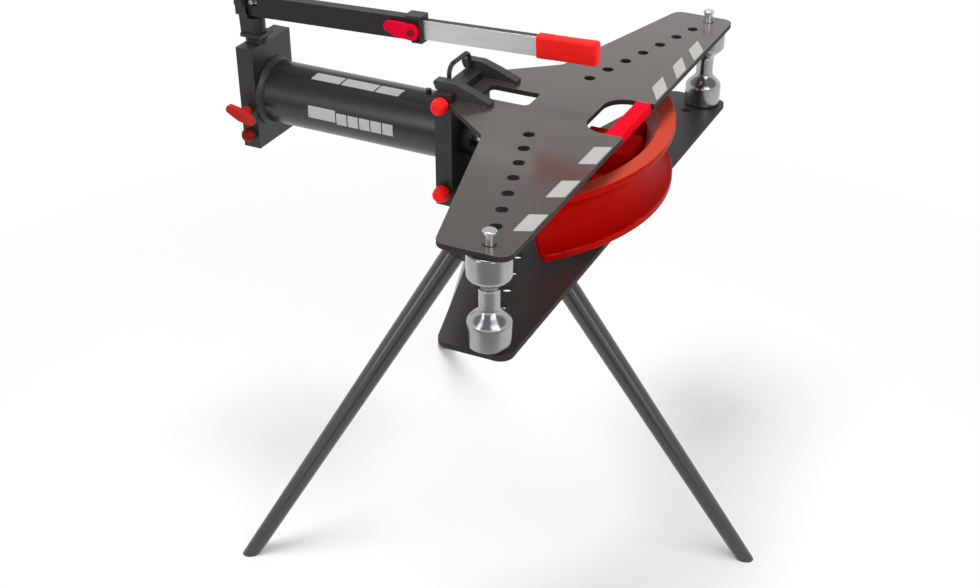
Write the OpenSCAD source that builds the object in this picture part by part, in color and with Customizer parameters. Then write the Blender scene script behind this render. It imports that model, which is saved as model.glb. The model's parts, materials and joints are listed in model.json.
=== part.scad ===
// Hydraulic pipe bender on a tripod: two winged plates, a ram with a bending former, a hand pump.
// +Z is up and +X is the way the ram pushes. The near side is -Y, the far side is +Y.
// The origin lies on the floor, in the middle of the footprint.

/* [Plates] */
// Thickness of each winged plate
plate_t = 8; // [6:0.5:12]
// Clear gap between the two plates
plate_gap = 136; // [120:1:160]
// Height of the upper plate's top face above the floor
deck_h = 736; // [650:1:850]
// How far the front edge runs on past the outermost holes
front_past = 23.5; // [4:0.5:30]
// How far the rear tip corner reaches past the outermost holes
tip_past = 25.5; // [20:0.5:40]
// How far the rear tip corner lies behind the front edge
tip_back = 100; // [85:1:120]
// How far the inner wing corner lies behind the front edge
elbow_back = 181; // [170:1:195]
// Half width at the inner wing corner
elbow_half = 142; // [125:1:160]
// Half width of the neck where it meets the head block
neck_half = 70; // [62:1:80]
// Rounding of the wing tips
tip_r = 18; // [8:1:30]

/* [Support holes] */
// Number of holes along each wing
hole_count = 8; // [5:1:8]
// Distance between holes along a wing
hole_pitch = 45; // [38:0.5:46]
// Diameter of the support holes
hole_d = 17; // [16.2:0.1:20]
// Angle of a row of holes to the front edge
row_angle = 15.9; // [12:0.1:18]
// How far the first hole lies behind the front edge
first_back = 122.7; // [115:0.1:135]
// Distance of the first hole from the middle
first_side = 110.6; // [100:0.1:120]

/* [Front notch and window] */
// Half width of the front notch
notch_half = 62; // [50:1:75]
// Depth of the front notch
notch_deep = 67; // [58:1:85]
// Rounding of the notch's inner corners
notch_r = 34; // [10:1:36]
// Half width of the window in the neck
window_half = 24; // [15:1:30]
// Distance of the window's front end behind the front edge
window_back = 165; // [150:1:180]
// Length of the window
window_len = 80; // [60:1:95]
// Width of the cross bar in the notch, along the ram
bar_w = 23; // [16:1:26]
// Thickness of the cross bar
bar_t = 16; // [10:1:22]
// How far the cross bar lies behind the front edge
bar_back = 5; // [2:1:8]

/* [Rollers and pins] */
// Diameter of a roller's drums
drum_d = 59; // [45:1:70]
// Diameter of a roller's waist
waist_d = 28; // [22:1:40]
// Height of each drum
drum_h = 32; // [25:1:42]
// Height of each throat between drum and waist
throat_h = 23; // [12:1:24]
// Diameter of a roller pin
pin_d = 15; // [12:0.5:15.5]
// How far a pin stands above the upper plate
pin_stand = 20; // [12:1:40]
// Diameter of a pin's head
pin_head_d = 18.5; // [16:0.5:26]
// Outer diameter of the cup under the lower plate
cup_d = 24; // [22:1:36]
// Depth of that cup below the plate
cup_h = 7; // [6:1:15]

/* [Head block and claws] */
// Thickness of the head block along the ram
head_t = 28; // [27:1:40]
// Width of the head block
head_w = 130; // [122:1:150]
// How far the head block stands past each plate
head_rise = 12; // [8:1:16]
// Distance of the head block behind the front edge
head_back = 269; // [263:1:280]
// Thickness of a claw
claw_t = 16; // [12:1:20]
// Distance of a claw's middle from the ram's plane
claw_side = 46; // [42:1:50]
// Height of a claw over the head block
claw_h = 14.5; // [8:0.5:16]
// Length of a claw's foot along the plate
claw_foot = 57; // [45:1:65]
// How far a claw's tongue drops below the plate's top face
tongue_drop = 16; // [13:1:22]
// Diameter of the two cross pins
cross_d = 12; // [9:0.5:13]
// Diameter of the cross pins' knobs
knob_d = 25; // [20:1:28]
// Length of the cross pins' knobs
knob_len = 22; // [10:1:26]
// Diameter of the lifting bail's rod
bail_d = 7; // [5:0.5:9]
// Height of the bail's top above the upper plate
bail_top = 46.5; // [40:0.5:58]

/* [Cylinder and ram] */
// How far the ram's axis lies above the middle between the plates
axis_lift = 4.5; // [0:0.5:8]
// Outer diameter of the oil jacket
jacket_d = 100; // [96:1:118]
// Wall of the oil jacket
jacket_wall = 6; // [3:0.5:8]
// Length of the jacket between the two blocks
jacket_len = 326; // [316:1:360]
// Outer diameter of the pressure cylinder
liner_d = 78; // [74:1:82]
// Bore of the pressure cylinder
bore_d = 64; // [62:0.5:68]
// Diameter of the ram
rod_d = 42; // [36:0.5:44]
// Length of the piston
piston_len = 28; // [20:1:32]
// How far the piston's front lies behind the head block in the pose shown
piston_back = 103; // [95:1:120]
// Wire diameter of the return spring
spring_wire = 5.5; // [4:0.5:6]
// Turns of the return spring
spring_turns = 6; // [4:1:7]
// Outer diameter of the gland nut
gland_d = 72; // [66:1:90]
// Length of the gland nut
gland_len = 14; // [11:1:18]
// Distance the ram stands out of the gland nut in the pose shown
rod_out = 146; // [130:1:160]

/* [Former] */
// Radius of the former's outer rims
former_r = 320; // [300:1:340]
// Height of the former
former_h = 95; // [90:1:105]
// Half of the angle that the former spans
former_half = 43; // [35:1:46]
// How far the former's rim stands past the plates' front edge
former_out = 38; // [20:1:60]
// How far the former's middle lies below the ram's axis
former_drop = 13.5; // [8:0.5:15]
// Outside diameter of the pipe that the groove takes
pipe_d = 76.1; // [60:0.1:80]
// How far the pipe's centre stands out of the rims
groove_out = 8; // [4:0.5:14]
// Depth of the rim's section along the radius
rim_deep = 42; // [40:1:50]
// Width of the flat lips above and below the groove
lip_w = 24; // [14:1:30]
// Thickness of the former's web
web_t = 12; // [8:1:18]
// Width of the former's hub block
hub_w = 70; // [60:1:90]
// Height of the former's hub block
hub_h = 62; // [60:1:80]
// Side of the ram head's square nose
nose_w = 36; // [28:1:44]
// Length of the ram head's nose
nose_len = 34; // [24:1:38]
// Diameter of the former's locking pin
lock_d = 12; // [8:0.5:16]

/* [Pump] */
// Thickness of the pump block along the ram
block_t = 30; // [30:1:40]
// Width of the pump block
block_w = 108; // [100:1:130]
// Height of the pump block above the ram's axis
block_up = 87.5; // [84:0.5:100]
// Depth of the pump block below the ram's axis
block_down = 81.5; // [75:0.5:95]
// Distance of the pump's plane from the ram's plane
pump_side = 18; // [15:1:22]
// Diameter of the pump plunger
plunger_d = 16; // [12:0.5:17]
// Outer diameter of the pump barrel
barrel_d = 30; // [26:1:34]
// Height of the barrel's base flange
flange_h = 8; // [5:1:12]
// Height of the lever's fulcrum above the pump block
fulcrum_h = 66; // [62:1:74]
// Distance from the fulcrum to the plunger's pin
throw_len = 18; // [17:0.5:21]
// Thickness of the bracket's side plates
cheek_t = 5; // [4:0.5:8]
// Diameter of the fulcrum pin
fulcrum_d = 10; // [8:0.5:11]
// Depth of the release valve's axis below the ram's axis
valve_drop = 15.5; // [12:0.5:19]
// Span of the release valve's wing
wing_span = 52; // [40:1:54]
// Depth of the bleed cap's axis below the release valve's axis
cap_below = 41.5; // [39:0.5:46]
// Diameter of the bleed cap
cap_d = 22; // [16:1:22]

/* [Lever] */
// Upward tilt of the lever in the pose shown
lever_tilt = 2; // [0:0.5:6]
// How far the fulcrum lies above the lever's middle line
pivot_up = 5.5; // [0:0.5:6]
// Height of the lever's outer tube
tube_h = 34; // [33:0.5:40]
// Width of the lever's outer tube
tube_w = 18; // [17.5:0.5:20.5]
// Wall of the lever's outer tube
tube_wall = 1.8; // [1.2:0.1:2]
// Distance from the fulcrum to the front end of the outer tube
tube_len = 315.5; // [300:0.5:360]
// Height of the sliding bar
slide_h = 29.6; // [26:0.2:29.6]
// Width of the sliding bar
slide_w = 12; // [10:0.5:13]
// Length of bar that stands between the collar and the grip
slide_out = 182.5; // [172:0.5:220]
// Length of bar inside the tube
slide_in = 90; // [70:1:110]
// Length of the grip
grip_len = 93; // [80:1:120]
// Height of the grip
grip_h = 35; // [34:0.5:42]
// Width of the grip
grip_w = 19; // [17:0.5:26]
// Length of the latch
latch_len = 38; // [30:1:44]
// Thickness of the latch
latch_t = 7.5; // [5:0.5:10]

/* [Tripod] */
// Distance of the tripod's hub behind the front edge
hub_back = 220; // [212:1:230]
// Horizontal reach of each leg
leg_run = 445; // [400:1:480]
// Angle of the two rear legs from the ram's direction
leg_angle = 130; // [122:1:135]
// Diameter of a leg's upper end
leg_d = 37; // [32:0.5:40]
// Diameter of a leg at the floor
foot_d = 25; // [20:0.5:30]
// Wall of the sockets
socket_wall = 4; // [3:0.5:6]
// Length of leg held in its socket
socket_len = 70; // [50:1:90]

/* [Hidden] */
$fn = 64;

// Clearances
run_gap = 0.05;
slide_gap = 0.3;
seat_gap = 0.1;

// Heights, with the upper plate's top face at zero
low_top = -plate_t - plate_gap;
low_under = low_top - plate_t;
axis_z = low_under / 2 + axis_lift;
// Stations along the ram, with the plates' front edge at zero
head_front = -head_back;
head_rear = head_front - head_t;
head_mid = head_front - head_t / 2;
block_front = head_rear - jacket_len;
block_mid = block_front - block_t / 2;
block_rear = block_front - block_t;
block_top = axis_z + block_up;
gland_front = head_front + gland_len;
rod_front = gland_front + rod_out;
piston_front = head_rear - piston_back;
former_x = former_out - former_r;
former_z = axis_z - former_drop;
// Pump and lever
plunger_x = block_mid + 2;
fulcrum_x = plunger_x - throw_len * cos(lever_tilt);
fulcrum_z = block_top + fulcrum_h;
ear_r = fulcrum_d / 2 + 3.5;
barrel_h = fulcrum_h - tube_h / 2 - pivot_up - 3;
plunger_pin_z = fulcrum_z + throw_len * sin(lever_tilt);
valve_z = axis_z - valve_drop;
cap_z = valve_z - cap_below;
collar_lip = 4;
lever_swing = 40;
slide_front = tube_len + collar_lip + slide_out;
latch_u = tube_len + collar_lip - 16;
latch_w = -3;
// Tripod
apex = [-hub_back, 0, low_under];
leg_drop = deck_h + low_under;
leg_len = norm([leg_run, leg_drop]);
leg_lean = atan(leg_run / leg_drop);
leg_seat = 60;
// The part's own origin: floor level, middle of the footprint
tube_back = 13;
rear_end = fulcrum_x - tube_back * cos(lever_tilt) - (tube_h / 2 - pivot_up) * sin(lever_tilt);
front_end = -hub_back + leg_run + foot_d / 2 / cos(leg_lean);
origin_shift = [-(rear_end + front_end) / 2, 0, deck_h];

// Centre of hole i of a row; side is 1 for the far wing and -1 for the near one
function hole_at(i, side) = [-first_back + i * hole_pitch * sin(row_angle),
    side * (first_side + i * hole_pitch * cos(row_angle))];
roller_at = hole_at(hole_count - 1, 1);
front_half = roller_at.y + front_past;
tip_half = roller_at.y + tip_past;

// Outline through corner points [x, y, radius], with each corner turned into an arc
function unit(v) = v / norm(v);
function corner_arc(a, b, c, steps) = let(
    p = [b.x, b.y],
    u = unit([a.x, a.y] - p),
    v = unit([c.x, c.y] - p),
    half = acos(u * v) / 2,
    mid = p + unit(u + v) * b.z / sin(half),
    s = p + u * b.z / tan(half) - mid,
    e = p + v * b.z / tan(half) - mid,
    from = atan2(s.y, s.x),
    turn = (atan2(e.y, e.x) - from + 540) % 360 - 180)
    [for (i = [0:steps]) mid + b.z * [cos(from + turn * i / steps), sin(from + turn * i / steps)]];
function rounded(pts, steps = 6) = [for (i = [0:len(pts) - 1]) each pts[i].z > 0
    ? corner_arc(pts[(i + len(pts) - 1) % len(pts)], pts[i], pts[(i + 1) % len(pts)], steps)
    : [[pts[i].x, pts[i].y]]];
function mirrored(pts) = [for (i = [len(pts) - 1:-1:0]) [pts[i].x, -pts[i].y, pts[i].z]];

// Helix swept as one closed tube along +X, with pressed-together ends
function helix_ring(t, turns, len, r, wire, sides) = let(a = 360 * turns * t)
    [for (k = [0:sides - 1]) let(b = 360 * k / sides, rr = r + wire / 2 * cos(b))
        [wire / 2 + (len - wire) * t + wire / 2 * sin(b), rr * cos(a), rr * sin(a)]];
module helix(turns, len, r, wire, sides = 6, per_turn = 16) {
    n = turns * per_turn;
    pts = [for (i = [0:n]) each helix_ring(i / n, turns, len, r, wire, sides)];
    walls = [for (i = [0:n - 1]) for (k = [0:sides - 1]) let(
        a = i * sides + k,
        b = i * sides + (k + 1) % sides)
        each [[a, b, b + sides], [a, b + sides, a + sides]]];
    caps = [for (k = [1:sides - 2]) each [[0, k + 1, k],
        [n * sides, n * sides + k, n * sides + k + 1]]];
    polyhedron(pts, concat(walls, caps));
}

// Places its children in the part's frame
module placed() { translate(origin_shift) children(); }
// Places its children on the ram's axis at station x, with their +Z along the ram
module on_axis(x) { translate([x, 0, axis_z]) rotate([0, 90, 0]) children(); }
// Places its children in the lever's frame: +X along the lever, +Y across it
module on_lever() {
    translate([fulcrum_x, -pump_side, fulcrum_z]) rotate([0, -lever_tilt, 0])
        translate([0, 0, -pivot_up]) children();
}
// Places its children in a leg's frame, with +Z running down the leg from the tripod's apex
module on_leg(turn) { translate(apex) rotate([0, 0, turn]) rotate([0, 180 - leg_lean, 0]) children(); }
module tube(d, bore, h) {
    difference() {
        cylinder(d = d, h = h);
        translate([0, 0, -1]) cylinder(d = bore, h = h + 2);
    }
}
// Cylinder along +Y from y0 to y1
module across(d, y0, y1) { translate([0, y0, 0]) rotate([-90, 0, 0]) cylinder(d = d, h = y1 - y0); }
// Block from its low corner to its high corner
module span(a, b) { translate(a) cube(b - a); }

// Winged plates
half_outline = [[0, front_half, tip_r], [-tip_back, tip_half, tip_r], [-elbow_back, elbow_half, 10],
    [head_front, neck_half, 0]];
module plate_blank() {
    linear_extrude(plate_t) difference() {
        polygon(rounded(concat(half_outline, mirrored(half_outline))));
        for (side = [-1, 1]) for (i = [0:hole_count - 1]) translate(hole_at(i, side)) circle(d = hole_d);
    }
}
module bottom_plate() {
    color([0.2, 0.2, 0.21]) placed() translate([0, 0, low_under]) plate_blank();
}
module top_plate() {
    cut = plate_t + 2;
    notch = [[-notch_deep, -notch_half, notch_r], [1, -notch_half, 0], [1, notch_half, 0],
        [-notch_deep, notch_half, notch_r]];
    window = [[-window_back - window_len, -window_half, 6], [-window_back, -window_half, 9],
        [-window_back, window_half, 6], [-window_back - window_len, window_half, 6]];
    color([0.25, 0.24, 0.24]) placed() translate([0, 0, -plate_t]) difference() {
        plate_blank();
        translate([0, 0, -1]) linear_extrude(cut) polygon(rounded(notch, 8));
        translate([0, 0, -1]) linear_extrude(cut) polygon(rounded(window, 4));
    }
}
module notch_bar() {
    rear = -bar_back - bar_w;
    color([0.85, 0.02, 0.1]) placed() difference() {
        span([rear, -notch_half, -bar_t], [-bar_back, notch_half, 0]);
        for (y = [-1, 1]) translate([-bar_back, y * notch_half, 0]) rotate([0, 45, 0])
            cube([4, 4, 4], center = true);
    }
}

// Claws: hooks welded to a plate that lie over the head block and drop a tongue into it
tongue_half = 9;
module claw() {
    tip = head_rear - 5;
    top = head_rise + claw_h;
    toe = head_front + claw_foot;
    outline = [[toe, 0], [toe + 1, 5], [toe - 33, top - 8], [head_front - 1, top], [tip, top],
        [tip - 2, top - 4], [tip + 2, head_rise], [head_mid - tongue_half, head_rise],
        [head_mid - tongue_half, -tongue_drop], [head_mid + tongue_half, -tongue_drop],
        [head_mid + tongue_half, head_rise], [head_front, head_rise], [head_front, 0]];
    difference() {
        translate([0, claw_t / 2, 0]) rotate([90, 0, 0]) linear_extrude(claw_t) polygon(outline);
        translate([head_mid, 0, -plate_t / 2]) across(cross_d + 2 * seat_gap, -claw_t, claw_t);
    }
}
module upper_claw(side) {
    color([0.2, 0.2, 0.21]) placed() translate([0, side * claw_side, 0]) claw();
}
module lower_claw(side) {
    color([0.2, 0.2, 0.21]) placed() translate([0, side * claw_side, low_under]) mirror([0, 0, 1]) claw();
}
module upper_near_claw() { upper_claw(-1); }
module upper_far_claw() { upper_claw(1); }
module lower_near_claw() { lower_claw(-1); }
module lower_far_claw() { lower_claw(1); }

module lifting_bail() {
    base = head_rise;
    top = bail_top - bail_d / 2;
    leg_side = claw_side - claw_t / 2 - 1.5 - bail_d / 2;
    bend = min(14, top - base - 1, leg_side - 1);
    color([0.22, 0.22, 0.22]) placed() translate([head_mid - 5, 0, 0]) {
        for (side = [-1, 1]) {
            translate([0, side * leg_side, base]) cylinder(d = bail_d, h = top - bend - base);
            translate([0, side * (leg_side - bend), top - bend]) rotate([90, 0, 90])
                mirror([side < 0 ? 1 : 0, 0, 0]) rotate_extrude(angle = 90) translate([bend, 0])
                    circle(d = bail_d);
        }
        translate([0, 0, top]) across(bail_d, -leg_side + bend, leg_side - bend);
    }
}

// Head block: the cylinder's front end, with slots for the claws and bores for the cross pins
module head_block() {
    half = head_w / 2;
    slot = tongue_half + seat_gap;
    color([0.16, 0.16, 0.17]) placed() difference() {
        span([head_rear, -half, low_under - head_rise], [head_front, half, head_rise]);
        on_axis(head_rear - 1) cylinder(d = rod_d + 12, h = head_t + 2);
        for (side = [-1, 1]) translate([head_mid, side * claw_side, 0]) {
            span([-slot, -claw_t / 2 - seat_gap, -tongue_drop - seat_gap],
                [slot, claw_t / 2 + seat_gap, head_rise + 1]);
            span([-slot, -claw_t / 2 - seat_gap, low_under - head_rise - 1],
                [slot, claw_t / 2 + seat_gap, low_under + tongue_drop + seat_gap]);
        }
        for (z = [-plate_t / 2, low_under + plate_t / 2])
            translate([head_mid, 0, z]) across(cross_d + 2 * seat_gap, -half - 1, half + 1);
    }
}
// Cross pins with knobs, which lock the claws in the head block
module cross_pin(z) {
    color([0.6, 0.6, 0.62]) placed() translate([head_mid, 0, z]) across(cross_d, -head_w / 2, head_w / 2);
}
module cross_knob(z) {
    r = knob_d / 2;
    outline = [[0, 0], [r * 0.72, 0], [r * 0.72, 2], [r, 4], [r, knob_len * 0.55],
        [r * 0.86, knob_len * 0.85], [r * 0.55, knob_len], [0, knob_len]];
    color([0.85, 0.1, 0.06]) placed() translate([head_mid, -head_w / 2, z]) rotate([90, 0, 0])
        rotate_extrude() polygon(outline);
}
module upper_cross_pin() { cross_pin(-plate_t / 2); }
module lower_cross_pin() { cross_pin(low_under + plate_t / 2); }
module upper_knob() { cross_knob(-plate_t / 2); }
module lower_knob() { cross_knob(low_under + plate_t / 2); }

// Cylinder
plug_x = head_rear - 44;
plug_d = 10;
module oil_jacket() {
    color([0.13, 0.13, 0.14]) placed() difference() {
        on_axis(block_front) tube(jacket_d, jacket_d - 2 * jacket_wall, jacket_len);
        translate([plug_x, 0, axis_z]) cylinder(d = plug_d - 4 + 2 * seat_gap, h = jacket_d);
    }
}
module pressure_cylinder() {
    color([0.5, 0.5, 0.52]) placed() on_axis(block_front) tube(liner_d, bore_d, jacket_len);
}
module rear_collar() {
    d = jacket_d + 12;
    color([0.16, 0.16, 0.17]) placed() on_axis(block_front) rotate_extrude() {
        polygon([[jacket_d / 2, 0], [d / 2, 0], [d / 2, 3], [jacket_d / 2, 10]]);
    }
}
module filler_plug() {
    color([0.12, 0.12, 0.12]) placed() translate([plug_x, 0, axis_z]) {
        translate([0, 0, jacket_d / 2 - jacket_wall]) cylinder(d = plug_d - 4, h = jacket_wall + 2);
        translate([0, 0, jacket_d / 2 + 0.6]) cylinder(d = plug_d, h = 5, $fn = 6);
    }
}
module gland_nut() {
    color([0.3, 0.3, 0.31]) placed() difference() {
        on_axis(head_front) cylinder(d = gland_d, h = gland_len);
        on_axis(head_front - 1) cylinder(d = rod_d + 2, h = gland_len + 2);
        on_axis(head_front - 1) cylinder(d = rod_d + 12, h = 8);
        for (a = [0:90:270]) on_axis(gland_front) rotate(a) translate([gland_d / 2 - 6, 0, -6])
            cylinder(d = 6, h = 7);
    }
}
module gland_bush() {
    color([0.7, 0.55, 0.25]) placed() on_axis(head_rear) tube(rod_d + 12, rod_d + 2 * run_gap, head_t);
}
module rod_seal() {
    color([0.08, 0.08, 0.08]) placed() on_axis(head_front) tube(rod_d + 12, rod_d + 2 * seat_gap, 7);
}

// Ram
spigot_d = 26;
module ram_rod() {
    rear = piston_front - piston_len - 12;
    color([0.75, 0.75, 0.77]) placed() {
        on_axis(piston_front) cylinder(d = rod_d, h = rod_front - piston_front);
        on_axis(rear) cylinder(d = spigot_d, h = piston_front - rear);
    }
}
module piston() {
    groove = 6;
    color([0.55, 0.55, 0.57]) placed() on_axis(piston_front - piston_len) difference() {
        tube(bore_d - 2 * run_gap, spigot_d, piston_len);
        translate([0, 0, piston_len / 2 - groove / 2]) tube(bore_d + 2, bore_d - 10, groove);
    }
}
module piston_seal() {
    color([0.08, 0.08, 0.08]) placed() on_axis(piston_front - piston_len / 2 - 3)
        tube(bore_d - 2 * run_gap, bore_d - 10, 6);
}
module piston_nut() {
    color([0.5, 0.5, 0.52]) placed() on_axis(piston_front - piston_len - 10) difference() {
        cylinder(d = 44, h = 10, $fn = 6);
        translate([0, 0, -1]) cylinder(d = spigot_d, h = 12);
    }
}
spring_len = piston_back - 2 * seat_gap;
spring_mean = (rod_d + bore_d) / 2;
echo(least_gap_of_return_spring = (spring_len - spring_wire) / spring_turns - spring_wire);
module return_spring() {
    color([0.4, 0.4, 0.42]) placed() translate([piston_front + seat_gap, 0, axis_z])
        helix(spring_turns, spring_len, spring_mean / 2, spring_wire);
}
module ram_head() {
    flange_d = min(hub_h, hub_w);
    color([0.45, 0.45, 0.47]) placed() difference() {
        union() {
            on_axis(rod_front) cylinder(d1 = rod_d, d2 = flange_d, h = 8);
            on_axis(rod_front + 8) cylinder(d = flange_d, h = 14);
            translate([rod_front + 22, -nose_w / 2, axis_z - nose_w / 2]) cube([nose_len, nose_w, nose_w]);
        }
        translate([rod_front + 22 + nose_len / 2, 0, axis_z - nose_w])
            cylinder(d = lock_d + 2 * seat_gap, h = 2 * nose_w);
    }
}

// Former: a grooved rim, and a hub with a web and ribs that takes the ram head's nose
hub_rear = rod_front + 22;
lock_x = hub_rear + nose_len / 2;
rim_back = former_r - rim_deep;
rim_flat = 44;
module former_rim() {
    half = former_h / 2;
    inner = former_r - lip_w;
    color([0.6, 0.05, 0.03]) placed() translate([former_x, 0, former_z]) rotate([0, 0, -former_half])
        rotate_extrude(angle = 2 * former_half, $fn = 160) difference() {
            polygon([[inner, half], [rim_back, rim_flat / 2], [rim_back, -rim_flat / 2], [inner, -half],
                [former_r, -half], [former_r, half]]);
            translate([former_r + groove_out, 0]) circle(d = pipe_d);
        }
}
module former_web() {
    half = rim_back * sin(former_half);
    translate([hub_rear, -half, former_z - web_t / 2]) cube([former_r, 2 * half, web_t]);
}
module former_hub() {
    color([0.6, 0.05, 0.03]) placed() difference() {
        intersection() {
            union() {
                former_web();
                span([hub_rear, -hub_w / 2, axis_z - hub_h / 2], [former_out, hub_w / 2, axis_z + hub_h / 2]);
                for (y = [-1, 1]) translate([hub_rear + 6, y * hub_w / 2, former_z]) rotate([0, 0, y * 62])
                    translate([-6, -5, -rim_flat / 2]) cube([former_r, 10, rim_flat]);
            }
            translate([former_x, 0, former_z - former_h]) cylinder(r = rim_back, h = 2 * former_h, $fn = 160);
        }
        translate([hub_rear - 1, -nose_w / 2 - seat_gap, axis_z - nose_w / 2 - seat_gap])
            cube([nose_len + 1 + seat_gap, nose_w + 2 * seat_gap, nose_w + 2 * seat_gap]);
        translate([lock_x, 0, former_z - former_h]) cylinder(d = lock_d + 2 * seat_gap, h = 2 * former_h);
    }
}
module lock_pin() {
    color([0.7, 0.7, 0.72]) placed() translate([lock_x, 0, axis_z]) {
        translate([0, 0, -hub_h / 2]) cylinder(d = lock_d, h = hub_h);
        translate([0, 0, hub_h / 2]) cylinder(d = lock_d + 8, h = 5);
    }
}

// Rollers on their pins
module roller(side) {
    h = plate_gap - 2 * slide_gap;
    r = drum_d / 2;
    w = waist_d / 2;
    hole = pin_d / 2 + seat_gap;
    steps = 8;
    throat = [for (i = [0:steps]) let(t = i / steps)
        [w + (r - w) * (1 + cos(180 * t)) / 2, drum_h + throat_h * t]];
    back = [for (i = [steps:-1:0]) [throat[i].x, h - throat[i].y]];
    color([0.78, 0.78, 0.8]) placed() translate([roller_at.x, side * roller_at.y, low_top + slide_gap])
        rotate_extrude() polygon(concat([[hole, 0], [r - 2, 0], [r, 2]], throat, back,
            [[r, h - 2], [r - 2, h], [hole, h]]));
}
module roller_pin(side) {
    r = pin_d / 2;
    k = pin_head_d / 2;
    foot = low_under - cup_h + 3 + seat_gap;
    color([0.7, 0.7, 0.72]) placed() translate([roller_at.x, side * roller_at.y, 0]) rotate_extrude()
        polygon([[0, foot], [r - 1, foot], [r, foot + 1], [r, pin_stand - 5], [k, pin_stand - 4],
            [k, pin_stand - 1], [k - 1, pin_stand], [0, pin_stand]]);
}
module near_roller() { roller(-1); }
module far_roller() { roller(1); }
module near_pin() { roller_pin(-1); }
module far_pin() { roller_pin(1); }
module pin_cups() {
    color([0.16, 0.16, 0.17]) placed() for (side = [-1, 1])
        translate([roller_at.x, side * roller_at.y, low_under - cup_h]) difference() {
            cylinder(d = cup_d, h = cup_h);
            translate([0, 0, 3]) cylinder(d = pin_d + 2 * slide_gap, h = cup_h);
        }
}

// Pump block with its oil passages
pump_floor = block_top - 60;
ball_d = 8;
ball_step = 26;
seat_z = pump_floor - 1.5 * ball_d;
passage_d = ball_d + 2 * slide_gap;
module pump_block() {
    half = block_w / 2;
    low = axis_z - block_down;
    color([0.15, 0.15, 0.16]) placed() difference() {
        span([block_rear, -half, low], [block_front, half, block_top]);
        translate([plunger_x, -pump_side, 0]) {
            translate([0, 0, pump_floor])
                cylinder(d = plunger_d + 2 * seat_gap, h = block_top - pump_floor + 1);
            translate([0, 0, low - 1]) cylinder(d = passage_d, h = pump_floor - low + 2);
        }
        translate([plunger_x, -pump_side + 2, axis_z]) rotate([0, 90, 0]) cylinder(d = 3, h = block_t);
        translate([block_mid, 0, valve_z]) across(10 + 2 * seat_gap, -half - 1, -half + 18);
        translate([block_mid, 0, cap_z]) across(10 + 2 * seat_gap, -half - 1, -half + 16);
    }
}
module check_balls() {
    color([0.8, 0.8, 0.82]) placed() for (z = [seat_z, seat_z - ball_step])
        translate([plunger_x, -pump_side, z]) sphere(d = ball_d);
}
module check_springs() {
    color([0.5, 0.5, 0.52]) placed() for (z = [seat_z, seat_z - ball_step])
        translate([plunger_x, -pump_side, z - 3.6]) rotate([0, 90, 0]) helix(5, 14, 3, 1.2, 5, 10);
}
module passage_plugs() {
    low = axis_z - block_down;
    color([0.4, 0.4, 0.42]) placed() translate([plunger_x, -pump_side, low]) difference() {
        cylinder(d = passage_d - 2 * run_gap, h = seat_z - ball_step - 17.9 - low);
        translate([0, 0, -1]) cylinder(d = 5.8, h = 6, $fn = 6);
    }
}
module pump_barrel() {
    color([0.2, 0.2, 0.21]) placed() translate([plunger_x, -pump_side, block_top]) difference() {
        union() {
            cylinder(d = barrel_d + 6, h = flange_h);
            cylinder(d = barrel_d, h = barrel_h);
        }
        translate([0, 0, -1]) cylinder(d = plunger_d + 2 * run_gap, h = barrel_h + 2);
    }
}
module pump_bracket() {
    inner = tube_w / 2 + 0.6;
    outer = inner + cheek_t;
    seat_half = max(outer, barrel_d / 2 + 3);
    base = flange_h + 3;
    rise = fulcrum_h;
    near = fulcrum_x - plunger_x;
    color([0.17, 0.17, 0.18]) placed() translate([plunger_x, -pump_side, block_top]) difference() {
        union() {
            difference() {
                span([near - 1, -seat_half, base], [barrel_d / 2 + 4, seat_half, base + 6]);
                translate([0, 0, base - 1]) cylinder(d = barrel_d + 2 * seat_gap, h = 8);
            }
            for (y = [-outer, inner]) difference() {
                union() {
                    translate([near, y, rise]) across(2 * ear_r, 0, cheek_t);
                    translate([0, y + cheek_t, 0]) rotate([90, 0, 0]) linear_extrude(cheek_t)
                        polygon([[near - 1, base], [-4, base], [-4, base + 22], [near + ear_r, rise],
                            [near - ear_r, rise], [near - 3, rise - 14]]);
                }
                translate([0, 0, base + 6])
                    cylinder(d = max(2 * outer + 0.2, barrel_d + 2 * slide_gap), h = barrel_h);
                translate([0, 0, base - 1]) cylinder(d = barrel_d + 2 * seat_gap, h = 8);
            }
        }
        translate([near, 0, rise]) across(fulcrum_d + 2 * seat_gap, -outer - 1, outer + 1);
    }
}
module fulcrum_pin() {
    reach = tube_w / 2 + 0.6 + cheek_t;
    color([0.55, 0.55, 0.57]) placed() translate([fulcrum_x, -pump_side, fulcrum_z]) {
        across(fulcrum_d, -reach, reach);
        across(fulcrum_d + 5, -reach - 4, -reach);
        across(fulcrum_d + 5, reach, reach + 4);
    }
}
module plunger() {
    low = pump_floor + 4;
    tongue = tube_w - 2 * tube_wall - 6;
    raised = lever_tilt + lever_swing;
    flat_len = (tube_h / 2 + pivot_up) / cos(raised) + plunger_d / 2 * tan(raised) + 1;
    color([0.65, 0.65, 0.67]) placed() translate([plunger_x, -pump_side, 0]) difference() {
        union() {
            translate([0, 0, low]) cylinder(d = plunger_d, h = plunger_pin_z - flat_len - low);
            intersection() {
                translate([0, 0, low]) cylinder(d = plunger_d, h = plunger_pin_z - low);
                translate([-plunger_d, -tongue / 2, low]) cube([2 * plunger_d, tongue, plunger_pin_z - low]);
            }
            translate([0, 0, plunger_pin_z]) across(plunger_d, -tongue / 2, tongue / 2);
        }
        translate([0, 0, plunger_pin_z]) across(8, -20, 20);
        translate([0, 0, low + 4]) tube(plunger_d + 2, plunger_d - 4, 4);
    }
}
module plunger_pin() {
    color([0.6, 0.6, 0.62]) placed() translate([plunger_x, -pump_side, plunger_pin_z])
        across(8, -tube_w / 2 + 0.2, tube_w / 2 - 0.2);
}
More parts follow.
